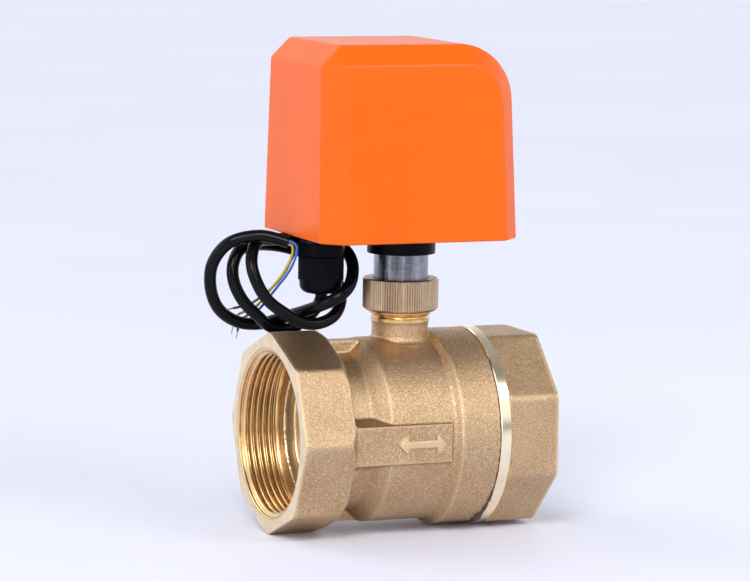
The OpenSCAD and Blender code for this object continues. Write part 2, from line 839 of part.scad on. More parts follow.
valve_body();
end_cap();
body_gasket();
inlet_seat();
outlet_seat();
ball();
stem();
stem_o_rings();
stem_washer();
locating_pin();
sleeve();
union_nut();
nut_washer();
drive_coupler();
sleeve_clip();
base();
cover();
cover_gasket();
cover_screws();
pillars();
motor_plate();
plate_screws();
lower_bush();
upper_bush();
output_shaft();
output_gear();
open_cam();
closed_cam();
idler_arbor();
reduction_gear();
motor_housing();
motor_shaft();
motor_pinion();
motor_screws();
open_switch();
closed_switch();
open_lever();
closed_lever();
switch_screws();
circuit_board();
board_standoffs();
board_screws();
terminal_block();
terminal_screws();
capacitor();
earth_lead();
neutral_lead();
live_lead();
motor_leads();
gland_body();
gland_gasket();
gland_locknut();
gland_seal();
gland_nut();
cable_tail();
cable();
earth_core();
neutral_core();
live_core();
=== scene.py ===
"""Looks for a motorized two-inch ball valve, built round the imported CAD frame."""
import json
import math

import bmesh
import bpy
from mathutils import Matrix, Vector, noise


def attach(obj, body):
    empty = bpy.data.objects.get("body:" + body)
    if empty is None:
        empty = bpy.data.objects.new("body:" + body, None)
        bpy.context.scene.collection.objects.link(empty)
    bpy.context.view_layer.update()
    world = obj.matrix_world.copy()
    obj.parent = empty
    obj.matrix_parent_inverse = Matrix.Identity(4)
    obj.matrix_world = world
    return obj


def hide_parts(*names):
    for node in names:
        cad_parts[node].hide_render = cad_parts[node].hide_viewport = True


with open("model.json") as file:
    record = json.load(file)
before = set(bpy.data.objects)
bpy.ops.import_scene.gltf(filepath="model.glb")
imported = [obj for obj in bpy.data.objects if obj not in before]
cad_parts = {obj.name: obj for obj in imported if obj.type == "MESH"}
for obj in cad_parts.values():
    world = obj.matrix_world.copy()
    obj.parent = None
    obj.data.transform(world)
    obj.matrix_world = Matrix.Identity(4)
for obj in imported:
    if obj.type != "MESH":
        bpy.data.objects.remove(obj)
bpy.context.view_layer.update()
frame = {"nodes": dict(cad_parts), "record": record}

MM = 0.001
NODES = frame["nodes"]
SLOT_OF = {part["node"]: part["material_slot"] for part in frame["record"]["subparts"]}
WELD_GAP = 1e-6  # corners of a CAD mesh nearer than this, in metres, are one corner
FLAT_ANGLE = math.radians(0.6)  # CAD faces that meet at less than this are one face


def linked(name, data):
    """A new object in the scene."""
    made = bpy.data.objects.new(name, data)
    bpy.context.scene.collection.objects.link(made)
    return made


def smoothed(mesh, sharp):
    """Smooth shading, but for edges sharper than so many degrees."""
    mesh.polygons.foreach_set("use_smooth", [True] * len(mesh.polygons))
    mesh.set_sharp_from_angle(angle=math.radians(sharp))


# ---- Camera ----

AZIMUTH = math.radians(-23.03)
ELEVATION = math.radians(7.17)
ROLL = math.radians(0.99)
CAMERA_DISTANCE = 1392.3 * MM
CAMERA_TARGET = Vector((-10.57, 0, 49.65)) * MM
CAMERA_LENS = 187.7


def make_camera():
    """A long lens at the viewing angle, level but for a slight roll."""
    back = Vector((math.sin(AZIMUTH) * math.cos(ELEVATION),
                   -math.cos(AZIMUTH) * math.cos(ELEVATION), math.sin(ELEVATION)))
    level = Vector((math.cos(AZIMUTH), math.sin(AZIMUTH), 0))
    upright = back.cross(level)
    right = math.cos(ROLL) * level + math.sin(ROLL) * upright
    up = back.cross(right)
    data = bpy.data.cameras.new("camera")
    data.lens, data.sensor_width = CAMERA_LENS, 36
    data.shift_x = 0.0024
    data.clip_start, data.clip_end = 0.05, 20
    camera = linked("camera", data)
    camera.matrix_world = Matrix.Translation(CAMERA_TARGET + back * CAMERA_DISTANCE) @ Matrix(
        (right, up, back)).transposed().to_4x4()
    bpy.context.scene.camera = camera


make_camera()


# ---- Materials ----

MIX_A, MIX_B, MIX_RESULT = 6, 7, 2  # where a Mix node keeps its colour sockets


class Shader:
    """Builds one node material on a Principled shader, in the object's own metres."""

    def __init__(self, name, **sockets):
        self.mat = bpy.data.materials.new(name)
        self.mat.use_nodes = True
        self.tree = self.mat.node_tree
        self.bsdf = self.tree.nodes["Principled BSDF"]
        for socket, value in sockets.items():
            self.bsdf.inputs[socket.replace("_", " ")].default_value = value
        self.place = self.node("ShaderNodeTexCoord").outputs["Object"]

    def node(self, kind, **settings):
        made = self.tree.nodes.new(kind)
        for key, value in settings.items():
            setattr(made, key, value)
        return made

    def join(self, source, target):
        self.tree.links.new(source, target)

    def math(self, operation, a, b=0.0):
        made = self.node("ShaderNodeMath", operation=operation)
        for socket, value in zip(made.inputs, (a, b)):
            if isinstance(value, (int, float)):
                socket.default_value = value
            else:
                self.join(value, socket)
        return made.outputs[0]

    def stretched(self, factors):
        made = self.node("ShaderNodeVectorMath", operation="MULTIPLY")
        self.join(self.place, made.inputs[0])
        made.inputs[1].default_value = factors
        return made.outputs[0]

    def turned(self, axis):
        """Place along the axis and distance from it, the same all round a turned part."""
        split = self.node("ShaderNodeSeparateXYZ")
        self.join(self.place, split.inputs[0])
        along, *across = [split.outputs[i] for i in {"X": (0, 1, 2), "Z": (2, 0, 1)}[axis]]
        squares = [self.math("MULTIPLY", s, s) for s in across]
        radius = self.math("SQRT", self.math("ADD", *squares))
        both = self.node("ShaderNodeCombineXYZ")
        self.join(along, both.inputs[0])
        self.join(radius, both.inputs[1])
        return both.outputs[0]

    def noise(self, scale, detail=2.0, rough=0.5, where=None):
        made = self.node("ShaderNodeTexNoise")
        self.join(where or self.place, made.inputs["Vector"])
        made.inputs["Scale"].default_value = scale
        made.inputs["Detail"].default_value = detail
        made.inputs["Roughness"].default_value = rough
        return made.outputs["Fac"]

    def ramp(self, fac, *stops):
        """Stops are (place, value or colour)."""
        made = self.node("ShaderNodeValToRGB")
        self.join(fac, made.inputs[0])
        ends = made.color_ramp.elements
        while len(ends) < len(stops):
            ends.new(0.5)
        for end, (place, value) in zip(ends, stops):
            end.position = place
            end.color = (*value, 1) if isinstance(value, tuple) else (value, value, value, 1)
        return made.outputs[0]

    def mix(self, fac, a, b, blend="MIX"):
        made = self.node("ShaderNodeMix", data_type="RGBA", blend_type=blend)
        for socket, value in zip((made.inputs[0], made.inputs[MIX_A], made.inputs[MIX_B]), (fac, a, b)):
            if isinstance(value, tuple):
                socket.default_value = (*value, 1)
            elif isinstance(value, (int, float)):
                socket.default_value = value
            else:
                self.join(value, socket)
        return made.outputs[MIX_RESULT]

    def colour(self, source):
        self.join(source, self.bsdf.inputs["Base Color"])

    def roughness(self, source):
        self.join(source, self.bsdf.inputs["Roughness"])

    def bump(self, *layers):
        """Layers are (height, strength, depth in millimetres), from coarse to fine."""
        last = None
        for height, strength, depth in layers:
            made = self.node("ShaderNodeBump")
            made.inputs["Strength"].default_value = strength
            made.inputs["Distance"].default_value = depth * MM
            self.join(height, made.inputs["Height"])
            if last:
                self.join(last, made.inputs["Normal"])
            last = made.outputs[0]
        self.join(last, self.bsdf.inputs["Normal"])


def cast_brass():
    """Sand-cast and shot-blasted: a fine bright speckle over soft lumps, with worn edges."""
    s = Shader("cast_brass", Metallic=1.0)
    speckle = s.noise(2100, 3, 0.6)
    patches = s.noise(70, 3, 0.6)
    grit = s.noise(3600, 1)
    tone = s.ramp(speckle, (0.3, (0.4, 0.26, 0.14)), (0.5, (0.54, 0.37, 0.215)),
                  (0.62, (0.68, 0.49, 0.3)), (0.72, (1.0, 0.86, 0.64)))
    stain = s.ramp(patches, (0.35, (0.86, 0.8, 0.74)), (0.6, (1.0, 1.0, 1.0)))
    tone = s.mix(0.6, tone, stain, "MULTIPLY")
    edge = s.ramp(s.node("ShaderNodeNewGeometry").outputs["Pointiness"], (0.5, 0.0), (0.56, 1.0))
    s.colour(s.mix(s.math("MULTIPLY", edge, 0.5), tone, (0.93, 0.76, 0.47)))
    s.roughness(s.ramp(speckle, (0.3, 0.52), (0.7, 0.34)))
    s.bump((s.noise(260, 2), 0.5, 0.12), (speckle, 1.0, 0.22), (grit, 0.5, 0.08))
    return s.mat


def turned_metal(name, colour, dark, roughness, axis, lines=5200, depth=0.02, groove_shade=None):
    """Turned metal: fine rings round the axis and faint stains; the last argument, when given, is a
    painted shade colour laid in the low places, where shade falls.
    """
    s = Shader(name, Metallic=1.0)
    where = s.turned(axis)
    rings = s.noise(lines, 2, 0.6, where)
    stains = s.noise(160, 3, 0.6)
    tone = s.mix(s.ramp(stains, (0.4, 0.0), (0.75, 0.7)), colour, dark)
    if groove_shade:
        height = s.node("ShaderNodeNewGeometry").outputs["Pointiness"]
        # Painted shade: the low places between the teeth are darkened by pointiness, in place of the shade
        # that falls in them.
        tone = s.mix(s.ramp(height, (0.42, 0.0), (0.56, 1.0)), groove_shade, tone)
    s.colour(tone)
    s.roughness(s.ramp(rings, (0.3, roughness * 0.75), (0.7, roughness * 1.3)))
    s.bump((rings, 0.4, depth), (s.noise(2400, 1), 0.12, 0.02))
    return s.mat


def sheet_metal(name, colour, roughness, grain=(1, 1, 1)):
    """Plated, drawn or sintered metal: a soft mottle and a light grain."""
    s = Shader(name, Metallic=1.0)
    mottle = s.noise(420, 3, 0.6)
    streaks = s.noise(1800, 2, 0.5, s.stretched(grain))
    dull = tuple(c * 0.7 for c in colour)
    s.colour(s.mix(s.ramp(mottle, (0.35, 0.0), (0.8, 0.6)), colour, dull))
    s.roughness(s.ramp(streaks, (0.3, roughness * 0.8), (0.7, roughness * 1.25)))
    s.bump((streaks, 0.25, 0.02))
    return s.mat


def plastic(name, colour, roughness, grain=2600, depth=0.03, tint=0.12, **sockets):
    """Moulded plastic: a fine texture from the tool, slight tone drift and handling marks."""
    s = Shader(name, **sockets)
    drift = s.noise(45, 2)
    marks = s.noise(300, 4, 0.7)
    pale = tuple(min(1.0, c * (1 + tint)) for c in colour)
    deep = tuple(c * (1 - tint) for c in colour)
    s.colour(s.mix(s.ramp(drift, (0.35, 0.0), (0.65, 1.0)), deep, pale))
    s.roughness(s.ramp(marks, (0.35, roughness * 0.88), (0.7, min(1.0, roughness * 1.15))))
    s.bump((s.noise(grain, 2, 0.6), 0.3, depth))
    return s.mat


def circuit_board():
    """Green coated laminate with a grid of buried copper tracks."""
    s = Shader("board_green", Roughness=0.3)
    tracks = s.node("ShaderNodeTexBrick", offset=0.37)
    s.join(s.place, tracks.inputs["Vector"])
    for socket, value in (("Scale", 170.0), ("Mortar Size", 0.05), ("Row Height", 0.31)):
        tracks.inputs[socket].default_value = value
    shade = s.ramp(tracks.outputs["Fac"], (0.0, (0.02, 0.13, 0.05)), (1.0, (0.06, 0.27, 0.1)))
    s.colour(s.mix(s.ramp(s.noise(900, 2), (0.4, 0.0), (0.7, 0.3)), shade, (0.03, 0.18, 0.07)))
    s.bump((tracks.outputs["Fac"], 0.4, 0.04))
    return s.mat


def earth_insulation():
    """Yellow with a green stripe that runs along the core."""
    s = Shader("earth_pvc", Roughness=0.38)
    split = s.node("ShaderNodeSeparateXYZ")
    s.join(s.node("ShaderNodeTexCoord").outputs["UV"], split.inputs[0])
    stripe = s.math("GREATER_THAN", split.outputs[1], 0.62)
    s.colour(s.mix(stripe, (0.45, 0.36, 0.03), (0.05, 0.2, 0.05)))
    s.bump((s.noise(2200, 2), 0.2, 0.02))
    return s.mat


def joint_paste():
    """Dark, slightly shiny thread sealant with lumps in it."""
    s = Shader("joint_paste", Roughness=0.5)
    lumps = s.noise(900, 3, 0.6)
    s.colour(s.ramp(lumps, (0.35, (0.03, 0.02, 0.016)), (0.7, (0.11, 0.07, 0.045))))
    s.bump((lumps, 0.7, 0.12))
    return s.mat


MATERIALS = {
    "cast_brass": cast_brass(),
    "machined_brass": turned_metal("machined_brass", (0.93, 0.76, 0.5), (0.74, 0.52, 0.3), 0.27, "X"),
    "thread_brass": turned_metal("thread_brass", (0.84, 0.6, 0.31), (0.6, 0.39, 0.19), 0.25, "X",
                                 3000, 0.004),
    "band_brass": turned_metal("band_brass", (0.97, 0.84, 0.62), (0.84, 0.66, 0.44), 0.2, "X",
                               5200, 0.006),
    "neck_brass": turned_metal("neck_brass", (0.78, 0.53, 0.25), (0.58, 0.36, 0.15), 0.26, "Z",
                               3400, 0.01),
    "tinned_copper": sheet_metal("tinned_copper", (0.5, 0.47, 0.45), 0.35, (1, 1, 4)),
    "ball_chrome": turned_metal("ball_chrome", (0.86, 0.86, 0.87), (0.7, 0.7, 0.7), 0.07, "X",
                                2600, 0.004),
    "ptfe": plastic("ptfe", (0.86, 0.86, 0.83), 0.42, 2200, 0.02, 0.03),
    "joint_paste": joint_paste(),
    "stainless": turned_metal("stainless", (0.66, 0.66, 0.67), (0.46, 0.45, 0.44), 0.24, "Z"),
    "sleeve_metal": turned_metal("sleeve_metal", (0.3, 0.305, 0.35), (0.15, 0.15, 0.18), 0.28, "Z",
                                 4600, 0.04),
    "black_nylon": plastic("black_nylon", (0.003, 0.003, 0.0045), 0.32, 2400, 0.03, 0.25,
                           Specular_IOR_Level=0.06),
    "orange_abs": plastic("orange_abs", (0.8, 0.118, 0.0), 0.34, 3000, 0.02, 0.02,
                          Specular_IOR_Level=0.27, Subsurface_Weight=0.06,
                          Subsurface_Radius=(0.004, 0.0015, 0.0005)),
    "black_rubber": plastic("black_rubber", (0.014, 0.014, 0.014), 0.7, 1600, 0.05, 0.3),
    "zinc_steel": sheet_metal("zinc_steel", (0.66, 0.67, 0.68), 0.33, (1, 6, 1)),
    "bronze": sheet_metal("bronze", (0.6, 0.36, 0.17), 0.42),
    "white_acetal": plastic("white_acetal", (0.8, 0.79, 0.74), 0.36, 2400, 0.015, 0.03,
                            Subsurface_Weight=0.1, Subsurface_Radius=(0.002, 0.002, 0.0015)),
    "motor_steel": sheet_metal("motor_steel", (0.6, 0.61, 0.62), 0.28, (1, 1, 9)),
    "switch_black": plastic("switch_black", (0.02, 0.02, 0.023), 0.3, 2600, 0.02, 0.15),
    "board_green": circuit_board(),
    "terminal_green": plastic("terminal_green", (0.05, 0.3, 0.12), 0.38),
    "film_yellow": plastic("film_yellow", (0.72, 0.5, 0.05), 0.25, 1500, 0.02, 0.05),
    "cable_pvc": plastic("cable_pvc", (0.003, 0.003, 0.0045), 0.24, 1900, 0.02, 0.3,
                         Specular_IOR_Level=0.14),
    "earth_pvc": earth_insulation(),
    "neutral_pvc": plastic("neutral_pvc", (0.02, 0.1, 0.5), 0.35),
    "live_pvc": plastic("live_pvc", (0.1, 0.04, 0.018), 0.35),
    "red_pvc": plastic("red_pvc", (0.45, 0.02, 0.02), 0.35),
    # Its knurl carries a painted shade in the hollows between its teeth.
    "knurled_brass": turned_metal("knurled_brass", (0.66, 0.49, 0.33), (0.47, 0.33, 0.21), 0.36, "Z",
                                  2400, 0.04, groove_shade=(0.2, 0.13, 0.075)),
}


# ---- Pieces ----

def add_piece(name, mesh, body, slot, material=None, sharp=35):
    """A mesh as one piece that rides on a body, smooth but for edges over sharp degrees."""
    made = linked(name, mesh)
    smoothed(mesh, sharp)
    mesh.materials.clear()
    mesh.materials.append(MATERIALS[material or slot])
    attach(made, body)
    return made


def grid_mesh(name, rows, wrap_rows=False):
    """A closed skin over rings of equally many points, its ends joined to each other or capped."""
    count, width = len(rows), len(rows[0])
    faces = []
    for i in range(count if wrap_rows else count - 1):
        a, b = i * width, (i + 1) % count * width
        for k in range(width):
            n = (k + 1) % width
            faces.append((a + k, b + k, b + n, a + n))
    if not wrap_rows:
        faces += [tuple(range(width)), tuple(range((count - 1) * width, count * width))[::-1]]
    mesh = bpy.data.meshes.new(name)
    mesh.from_pydata([tuple(p) for row in rows for p in row], [], faces)
    work = bmesh.new()
    work.from_mesh(mesh)
    bmesh.ops.recalc_face_normals(work, faces=work.faces)
    work.to_mesh(mesh)
    work.free()
    return mesh


def lathe(name, outline, axis, steps=144):
    """A ring turned round an axis, from a closed outline of (place along it, radius) in millimetres."""
    rows = []
    for i in range(steps):
        c, d = math.cos(2 * math.pi * i / steps), math.sin(2 * math.pi * i / steps)
        rows.append([Vector((h, r * c, r * d) if axis == "X" else (r * c, r * d, h)) * MM
                     for h, r in outline])
    return grid_mesh(name, rows, wrap_rows=True)


# ---- Cords ----

CABLE_ROUTE = [
    (-30.8, 0, 51), (-30.8, 0, 47), (-32.4, 4.6, 41.5), (-38, 9, 36), (-45.5, 9, 36.6), (-51.5, 8, 41),
    (-57, 8, 46.5), (-60.3, 8.5, 53), (-60.5, 9.5, 59), (-57.2, 11.8, 64), (-51, 14.5, 65.5),
    (-43, 17, 65), (-35.5, 17, 63.5), (-27.5, 14.5, 60.5), (-22, 9.5, 54.5), (-21.2, 4.5, 47.5),
    (-24.5, 1, 41.7), (-31, -1, 38.9), (-37.5, -1.5, 39.2), (-44.5, -1.5, 42.6), (-51.5, -1, 48),
    (-55.5, 0, 55), (-56, 3, 61.5), (-52.3, 8, 67), (-44.5, 11.5, 67.7),
    (-26, 12, 67), (-20, 6, 64.5), (-19.5, -2, 59.3), (-23.3, -7.8, 52.3), (-29.5, -7.5, 47.6),
    (-35.3, 0.5, 43.5), (-40.5, 8, 40.4), (-47.5, 15, 37.2), (-56, 16, 38), (-63.5, 15, 43),
    (-67.5, 13, 51), (-67.5, 11, 60), (-62.5, 7.5, 67.5), (-52.5, 4, 70), (-43.8, -1.5, 68)]
EARTH_ROUTE = [
    (-43.9, -1.45, 67.2), (-42.9, -2.1, 66.95), (-42.7, -2.6, 65), (-44, -3, 61.5), (-45.8, -0.8, 56.5),
    (-48.2, 2, 52), (-50.2, 6, 47.4), (-51.2, 11, 43.8), (-52.5, 17.5, 41.5), (-55, 19.8, 39.5),
    (-56, 20, 36)]
NEUTRAL_ROUTE = [
    (-44.05, -2.15, 68.4), (-43.05, -2.8, 68.15), (-41.6, -3.9, 66.3), (-42.6, -3.8, 61.5),
    (-44.2, -1.2, 56.5), (-46.6, 1.6, 52), (-48.8, 6, 46.8), (-49.8, 11, 43), (-51.3, 18, 40),
    (-53.5, 20.5, 37.5), (-54, 21, 34)]
LIVE_ROUTE = [
    (-43.3, -1, 68.4), (-42.3, -1.65, 68.15), (-41, -1.9, 66.2), (-42.8, -0.6, 61), (-44.6, 0.8, 56.5),
    (-47, 4, 52), (-49.5, 8.6, 48.2), (-51, 13, 45.4), (-54.5, 14, 43.9), (-58.5, 14, 43.2)]
CABLE_D = 4.4 * MM
CORE_D = 0.9 * MM


def make_cord(node, route, diameter, slot):
    """A round cord on one smooth spline through the route's points."""
    data = bpy.data.curves.new(node + "_cord", "CURVE")
    data.dimensions = "3D"
    data.bevel_depth, data.bevel_resolution, data.resolution_u = diameter / 2, 5, 10
    data.use_fill_caps = True
    spline = data.splines.new("BEZIER")
    spline.bezier_points.add(len(route) - 1)
    for i, (point, place) in enumerate(zip(spline.bezier_points, route)):
        after, before = route[min(i + 1, len(route) - 1)], route[max(i - 1, 0)]
        tangent = (Vector(after) - Vector(before)) / 6
        point.co = Vector(place) * MM
        point.handle_left_type = point.handle_right_type = "FREE"
        point.handle_left, point.handle_right = point.co - tangent * MM, point.co + tangent * MM
    cord = linked(node + "_cord", data)
    data.materials.append(MATERIALS[slot])
    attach(cord, "actuator")
    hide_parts(node)
    return cord


def bare_tip(node, route):
    """Bare twisted strands that stick out of a core's end."""
    end = Vector(route[-1]) * MM
    along = (end - Vector(route[-2]) * MM).normalized()
    side = along.orthogonal().normalized()
    other = along.cross(side)
    length, radius, strands, rings, around = 3.2 * MM, 0.26 * MM, 6, 14, 36
    rows = []
    for i in range(rings):
        t = i / (rings - 1)
        centre = end + along * (length * t - 0.3 * MM)
        taper = 1 - 0.3 * t ** 3
        row = []
        for k in range(around):
            a = 2 * math.pi * k / around
            r = radius * taper * (0.86 + 0.14 * abs(math.cos(strands / 2 * (a - 3.2 * t))))
            row.append(centre + r * (math.cos(a) * side + math.sin(a) * other))
        rows.append(row)
    name = node + "_strands"
    return add_piece(name, grid_mesh(name, rows), "actuator", "zinc_steel", "tinned_copper", 60)


cable = make_cord("cable", CABLE_ROUTE, CABLE_D, "cable_pvc")
for core, route in (("earth", EARTH_ROUTE), ("neutral", NEUTRAL_ROUTE), ("live", LIVE_ROUTE)):
    piece = make_cord(core + "_core", route, CORE_D, core + "_pvc")
    bare_tip(core + "_core", route)


# ---- Castings ----

# All in millimetres.
INLET_X, OUTLET_X = -50.0, 47.6
SOCKET_R, SOCKET_DEPTH = 30.3, 15.9
SOCKET_REACH = SOCKET_R + 0.6  # skin nearer the axis than this is the socket's
END_SNAP = 0.45  # skin nearer an end than this is laid flat on it
PITCH, ROOT_R, CREST_R = 2.309, 29.8, 28.33
THREAD_LENGTH, THREAD_START, RELIEF_R = 14.2, 0.25, 29.4
JOINT_X, BAND_END_X, BAND_R = 24.6, 28.55, 35.78
BAND_SINK = 0.6  # how far the casting lies under the bright band
PAD_Y, MARK_X, MARK_Z = 33.5, -5, -0.8
MARK_ROOM_X, MARK_ROOM_Z = 11, 4.6  # the pad is levelled this far to each side of the mark's middle
STEM_BORE_R = 6.3  # over the CAD's 6.05, as an evenly meshed skin can't hold that clear of the stem
STEM_BORE_FOOT = 24
NECK_TOP = 49.93  # just under the sleeve's seat
CASTING_VOXEL, CASTING_SMOOTHING = 0.5, 3


def remeshed(node):
    """An even, slightly softened copy of a CAD solid, as a casting comes out of its mould."""
    source = linked(node + "_source", NODES[node].data.copy())
    source.modifiers.new("weld", "WELD").merge_threshold = WELD_GAP
    remesh = source.modifiers.new("remesh", "REMESH")
    remesh.mode, remesh.voxel_size = "VOXEL", CASTING_VOXEL * MM
    soft = source.modifiers.new("soft", "SMOOTH")
    soft.factor, soft.iterations = 0.5, CASTING_SMOOTHING
    made = bpy.data.meshes.new_from_object(source.evaluated_get(bpy.context.evaluated_depsgraph_get()))
    bpy.data.objects.remove(source)
    return made


def casting(node, end_x, inwards):
    """The cast skin of one valve half, with a plain socket for its thread and a flat machined end."""
    mesh = remeshed(node)
    mesh.materials.clear()
    mesh.materials.append(MATERIALS["cast_brass"])
    mesh.materials.append(MATERIALS["machined_brass"])
    places = [v.co / MM for v in mesh.vertices]
    normals = [v.normal.copy() for v in mesh.vertices]
    for p, normal in zip(places, normals):
        radius = math.hypot(p.y, p.z)
        depth = (p.x - end_x) * inwards
        if radius < SOCKET_REACH and depth < SOCKET_DEPTH:
            p.y, p.z = p.y * SOCKET_R / radius, p.z * SOCKET_R / radius
        elif JOINT_X < p.x < BAND_END_X and radius > BAND_R - 1.5:
            p.y, p.z = p.y * (BAND_R - BAND_SINK) / radius, p.z * (BAND_R - BAND_SINK) / radius
        elif radius > SOCKET_REACH and depth > 0.6:
            p += normal * (0.07 * noise.noise(p * 0.16) + 0.045 * noise.noise(p * 0.6))
        if depth < END_SNAP:
            p.x = end_x
        from_stem = math.hypot(p.x, p.y)
        if p.z > STEM_BORE_FOOT and from_stem < STEM_BORE_R:
            spread = STEM_BORE_R / max(0.1, from_stem)
            p.x, p.y = p.x * spread, p.y * spread
        p.z = min(p.z, NECK_TOP)
        if p.y < -PAD_Y + 0.3 and abs(p.x - MARK_X) < MARK_ROOM_X and abs(p.z - MARK_Z) < MARK_ROOM_Z:
            p.y = max(p.y, -PAD_Y)
    mesh.vertices.foreach_set("co", [c * MM for p in places for c in p])
    mesh.update()
    for face in mesh.polygons:
        c = face.center / MM
        radius = math.hypot(c.y, c.z)
        hollow = face.normal.y * c.y + face.normal.z * c.z < -0.5 * radius and radius < SOCKET_R + 2
        machined = abs(c.x - end_x) < 0.02 or hollow
        face.material_index = 1 if machined else 0
    made = linked(node + "_casting", mesh)
    smoothed(mesh, 50)
    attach(made, "valve")
    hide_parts(node)


def thread_insert(name, end_x, inwards):
    """The turned inside of one socket: a chamfered mouth and a right-hand thread of rounded form."""
    around, per_pitch = 168, 24
    count = int(THREAD_LENGTH / PITCH * per_pitch)
    rows = []
    for k in range(around):
        a = 2 * math.pi * k / around
        points = [(0.0, SOCKET_R + 0.1), (0.0, ROOT_R + 0.35)]
        for i in range(count + 1):
            depth = THREAD_START + (THREAD_LENGTH - THREAD_START) * i / count
            crest = 0.5 + 0.5 * math.cos(2 * math.pi * (depth / PITCH - inwards * k / around))
            fade = min(1.0, depth / 1.3) * min(1.0, max(0.0, THREAD_LENGTH - depth))
            points.append((depth, ROOT_R - (ROOT_R - CREST_R) * crest * fade))
        points += [(THREAD_LENGTH + 0.2, RELIEF_R), (SOCKET_DEPTH - 0.1, RELIEF_R),
                   (SOCKET_DEPTH - 0.1, SOCKET_R + 0.1)]
        rows.append([Vector((end_x + inwards * d, r * math.cos(a), r * math.sin(a))) * MM
                     for d, r in points])
    add_piece(name, grid_mesh(name, rows, wrap_rows=True), "valve", "machined_brass", "thread_brass", 75)


casting("valve_body", INLET_X, 1)
casting("end_cap", OUTLET_X, -1)
thread_insert("inlet_thread", INLET_X, 1)
thread_insert("outlet_thread", OUTLET_X, -1)

# The machined band beside the body joint, with a small chamfer on each edge.
BAND = [(24.62, 34.6), (24.62, 35.4), (24.95, BAND_R), (28.3, BAND_R), (28.6, 35.5), (28.6, 34.6)]
add_piece("joint_band", lathe("joint_band", BAND, "X", 192), "valve", "machined_brass", "band_brass")

# The turned rim and cone under the union nut.
BEAD = [(38.4, 9.5), (38.5, 10.1), (38.85, 10.55), (39.85, 10.55), (40.2, 10.15), (40.6, 10.0),
        (41.9, 11.3), (42.25, 11.3), (42.35, 10.6), (42.35, 9.5)]
add_piece("neck_bead", lathe("neck_bead", BEAD, "Z"), "valve", "machined_brass", "neck_brass")


def flow_mark():
    """The raised double-headed arrow cast on the front pad, with rounded edges."""
    half = [(9.1, 0), (5.5, 3.55), (5.5, 1.3), (-5.5, 1.3), (-5.5, 3.55), (-9.1, 0)]
    outline = half + [(x, -z) for x, z in half[-2:0:-1]]
    work = bmesh.new()
    corners = [work.verts.new(Vector((MARK_X + x, -PAD_Y + 0.4, MARK_Z + z)) * MM) for x, z in outline]
    base = work.faces.new(corners)
    raised = bmesh.ops.extrude_face_region(work, geom=[base])["geom"]
    top = [v for v in raised if isinstance(v, bmesh.types.BMVert)]
    bmesh.ops.translate(work, verts=top, vec=(0, -1.15 * MM, 0))
    bmesh.ops.recalc_face_normals(work, faces=work.faces)
    rim = [e for e in work.edges if any(v in top for v in e.verts)]
    bmesh.ops.bevel(work, geom=rim, offset=0.3 * MM, segments=3, profile=0.5, affect="EDGES")
    mesh = bpy.data.meshes.new("flow_mark")
    work.to_mesh(mesh)
    work.free()
    add_piece("flow_mark", mesh, "valve", "cast_brass", sharp=50)


flow_mark()


def paste_bead():
    """Sealant squeezed out along the lower front of the body joint, uneven in width."""
    start, end, steps, around = math.radians(-147), math.radians(-96), 90, 10
    rows = []
    for i in range(steps + 1):
        t = i / steps
        a = start + (end - start) * t
        swell = 0.5 + noise.noise(Vector((t * 7, 3.1, 0))) + 0.7 * noise.noise(Vector((t * 26, 0, 5)))
        size = 0.08 + 1.15 * max(0.15, swell) * math.sin(math.pi * t) ** 0.6
        out = Vector((0, math.cos(a), math.sin(a)))
        centre = Vector((24.6 - 0.55 * size, 0, 0)) + out * (35.15 + 0.3 * size)
        rows.append([(centre + size * (math.cos(b) * Vector((1, 0, 0)) + math.sin(b) * out)) * MM
                     for b in (2 * math.pi * k / around for k in range(around))])
    add_piece("paste_bead", grid_mesh("paste_bead", rows), "valve", "joint_paste")


paste_bead()


# ---- Cover ----

COVER_ROUNDING = 0.9  # millimetres
SHORT_EDGE = 0.75  # outer edges under this many millimetres are merged away, as rounding would fold them


def rounded_cover():
    """The housing cover with its outer edges rounded, as they leave the mould."""
    work = bmesh.new()
    work.from_mesh(NODES["cover"].data)
    bmesh.ops.remove_doubles(work, verts=work.verts, dist=WELD_GAP)
    bmesh.ops.dissolve_limit(work, angle_limit=FLAT_ANGLE, verts=work.verts, edges=work.edges)
    places = [v.co.copy() for v in work.verts]

    def outer_edges(slack):
        """Edges between faces that no corner lies outside of by more than slack millimetres."""
        outer = {f for f in work.faces
                 if all(f.normal.dot(p - f.verts[0].co) < slack * MM for p in places)}
        return [e for e in work.edges if len(e.link_faces) == 2 and all(f in outer for f in e.link_faces)]

    short = [e for e in outer_edges(0.03) if e.calc_length() < SHORT_EDGE * MM]
    bmesh.ops.collapse(work, edges=short)
    # The merged corners lie a little outside their faces, so these need more slack.
    rim = [e for e in outer_edges(0.3) if e.calc_face_angle() > math.radians(15)]
    bmesh.ops.bevel(work, geom=rim, offset=COVER_ROUNDING * MM, segments=3, profile=0.5,
                    affect="EDGES", clamp_overlap=False)
    mesh = bpy.data.meshes.new("cover_shell")
    work.to_mesh(mesh)
    work.free()
    made = add_piece("cover_shell", mesh, "housing_cover", "orange_abs", sharp=22)
    made.modifiers.new("normals", "WEIGHTED_NORMAL").keep_sharp = True
    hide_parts("cover")


rounded_cover()


# ---- CAD nodes that stay ----

SOFT_EDGES = {  # bevel width in millimetres
    "base": 0.35, "gland_body": 0.4, "gland_nut": 0.12, "sleeve": 0.15, "union_nut": 0.08,
    "terminal_block": 0.25, "capacitor": 0.6, "open_switch": 0.25, "closed_switch": 0.25,
    "motor_plate": 0.15, "circuit_board": 0.1,
}
OTHER_LOOK = {"union_nut": "knurled_brass"}  # nodes that don't wear the material of their slot

